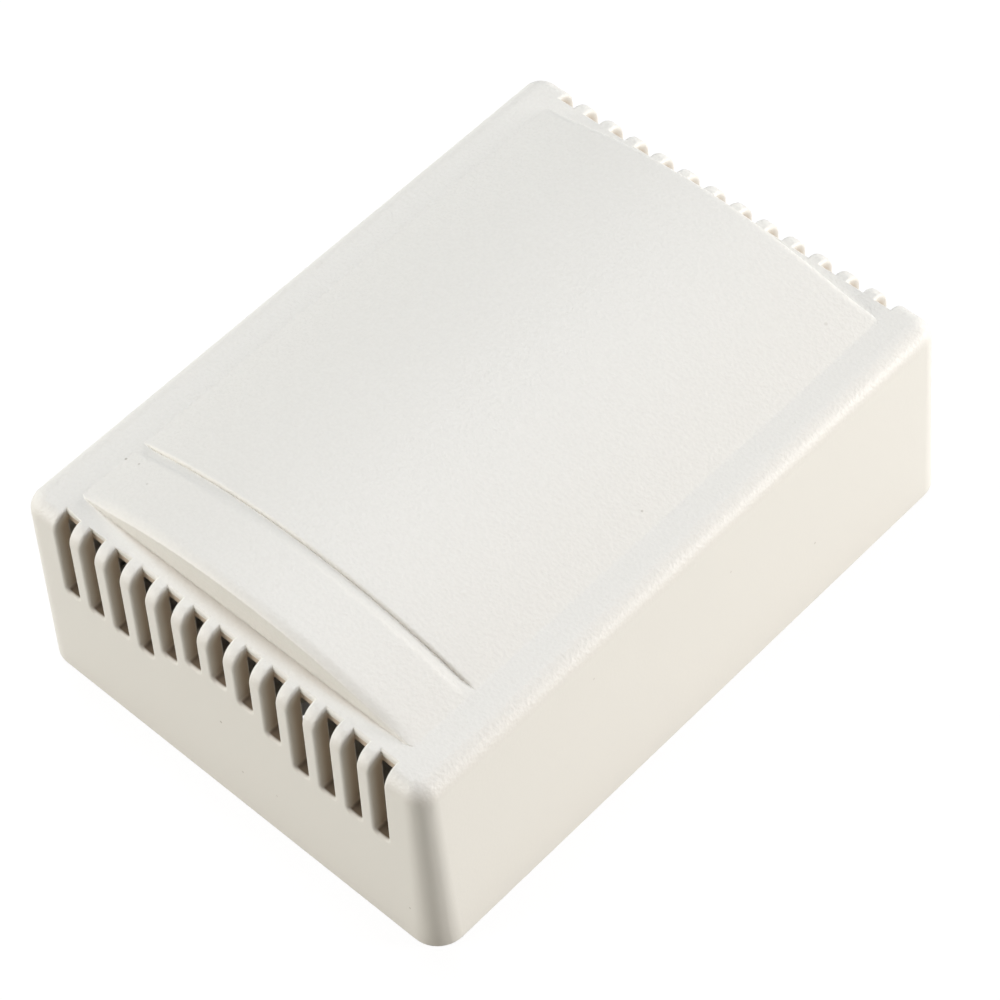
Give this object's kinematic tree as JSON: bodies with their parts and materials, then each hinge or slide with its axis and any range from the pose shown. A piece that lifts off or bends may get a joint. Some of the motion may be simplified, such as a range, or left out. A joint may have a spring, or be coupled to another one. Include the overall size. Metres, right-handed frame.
{
  "type": "plastic junction box",
  "caption": "Ivory moulded junction box with a crowned, vented cover that clips over a shallow screw-down base tray.",
  "frame": {"origin": "centre of the case on the plane of its open rim, which lies against the wall or the table", "axes": "+Z out of the crowned top, +Y along the length towards the end without the raised pad, +X across the width"},
  "size_m": [0.06, 0.082, 0.0313],
  "materials": {
    "cover_plastic": "fine spark-eroded matt moulding, warm ivory",
    "base_plastic": "plain matt moulding, warm ivory"
  },
  "bodies": {
    "base": {"base": "base_plastic"},
    "cover": {"cover": "cover_plastic"}
  },
  "joints": [
    {"name": "cover_lift", "type": "slide", "parent": "base", "child": "cover", "axis": [0, 0, 1], "range_m": [0, 0.03]}
  ]
}
